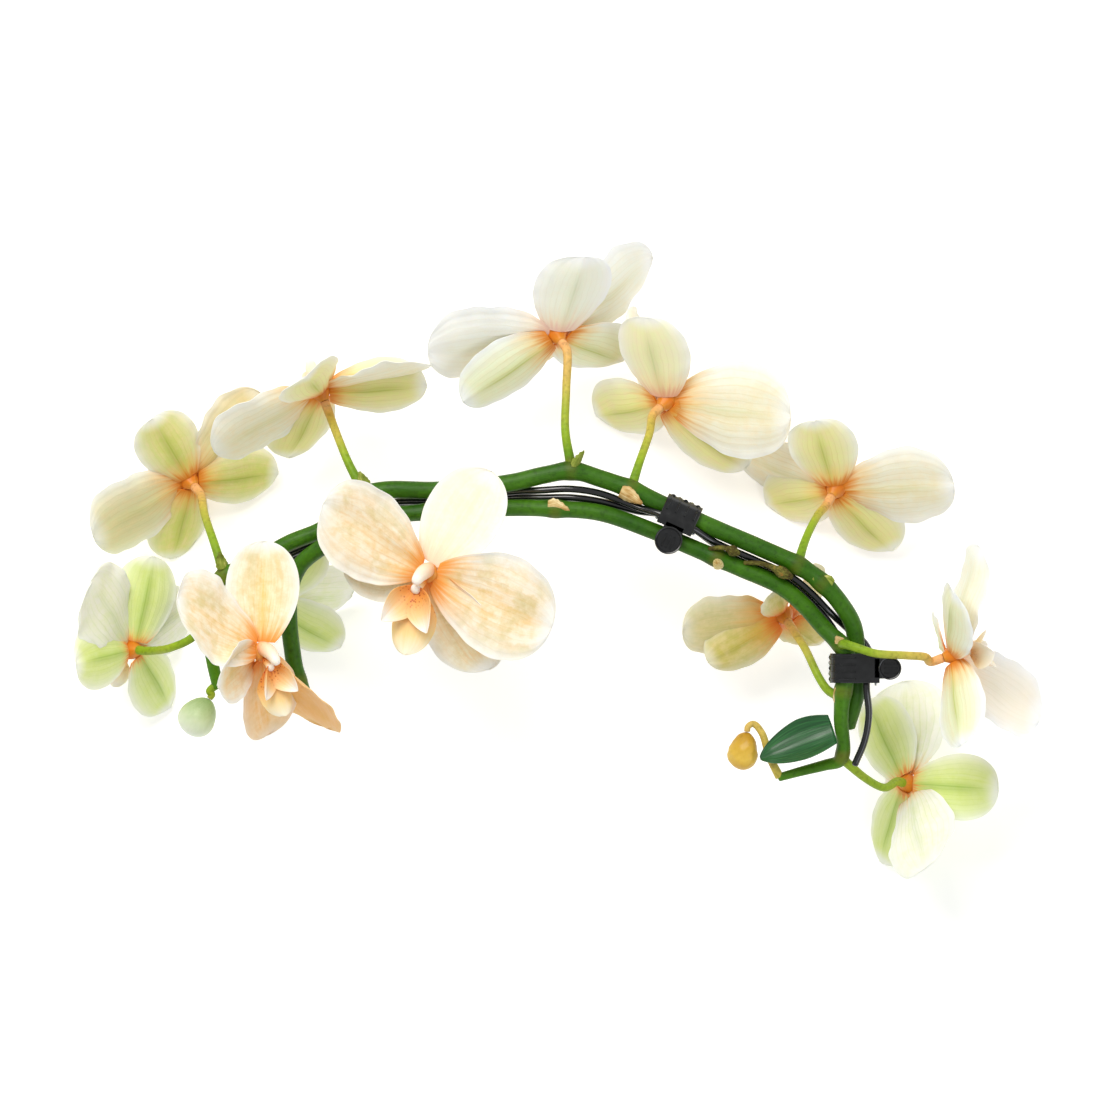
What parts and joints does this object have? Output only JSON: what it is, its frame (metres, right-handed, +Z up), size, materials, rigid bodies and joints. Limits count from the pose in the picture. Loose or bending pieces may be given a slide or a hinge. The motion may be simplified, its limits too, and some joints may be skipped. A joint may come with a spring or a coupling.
{
  "type": "moth orchid stem",
  "caption": "Cut moth orchid stem lying down: paired arching flower spikes with open blooms, buds, a leaf, support wires and spring claw clips.",
  "frame": {"origin": "centre of the bounding box, on the surface that the stem lies on", "axes": "+Z up from that surface, +X along the arch toward the foot of the spikes, +Y toward the outside of the arch"},
  "size_m": [0.3297, 0.2163, 0.1125],
  "materials": {
    "spike": "living green stem, waxy satin",
    "peach_petal": "thin velvety petal, peach to ivory",
    "green_petal": "thin petal, pale green",
    "lip": "waxy petal, orange and white",
    "green_bud": "waxy bud, pale green",
    "withered_bud": "wrinkled bud, dull yellow",
    "leaf": "leathery leaf, dark green satin",
    "wire": "black coated wire, glossy",
    "clip": "black moulded plastic, satin",
    "steel": "spring steel wire"
  },
  "bodies": {
    "root": {"spike_upper": "spike", "spike_lower": "spike", "bloom_01": "peach_petal", "lip_01": "lip", "bloom_02": "peach_petal", "lip_02": "lip", "bloom_03": "peach_petal", "lip_03": "lip", "bloom_04": "peach_petal", "lip_04": "lip", "bloom_05": "peach_petal", "lip_05": "lip", "bloom_06": "green_petal", "lip_06": "lip", "bloom_07": "peach_petal", "lip_07": "lip", "bloom_08": "peach_petal", "lip_08": "lip", "bloom_09": "green_petal", "lip_09": "lip", "bloom_10": "peach_petal", "lip_10": "lip", "bloom_11": "green_petal", "lip_11": "lip", "bloom_12": "peach_petal", "lip_12": "lip", "bud_green": "green_bud", "bud_yellow": "withered_bud", "leaf": "leaf", "wire_outer": "wire", "wire_inner": "wire", "clip_arch_base": "clip", "clip_arch_pin": "steel", "clip_foot_base": "clip", "clip_foot_pin": "steel"},
    "clip_arch_jaw": {"clip_arch_jaw": "clip"},
    "clip_foot_jaw": {"clip_foot_jaw": "clip"}
  },
  "joints": [
    {"name": "clip_arch_hinge", "type": "hinge", "parent": "root", "child": "clip_arch_jaw", "pos_m": [0.0402, 0.0119, 0.058], "axis": [0.9121, -0.41, 0], "range_deg": [0, 18], "stiffness_Nm_per_rad": 0.02, "springref_deg": -17.19},
    {"name": "clip_foot_hinge", "type": "hinge", "parent": "root", "child": "clip_foot_jaw", "pos_m": [0.1084, -0.0364, 0.057], "axis": [0, 1, 0], "range_deg": [0, 18], "stiffness_Nm_per_rad": 0.02, "springref_deg": -17.19}
  ]
}
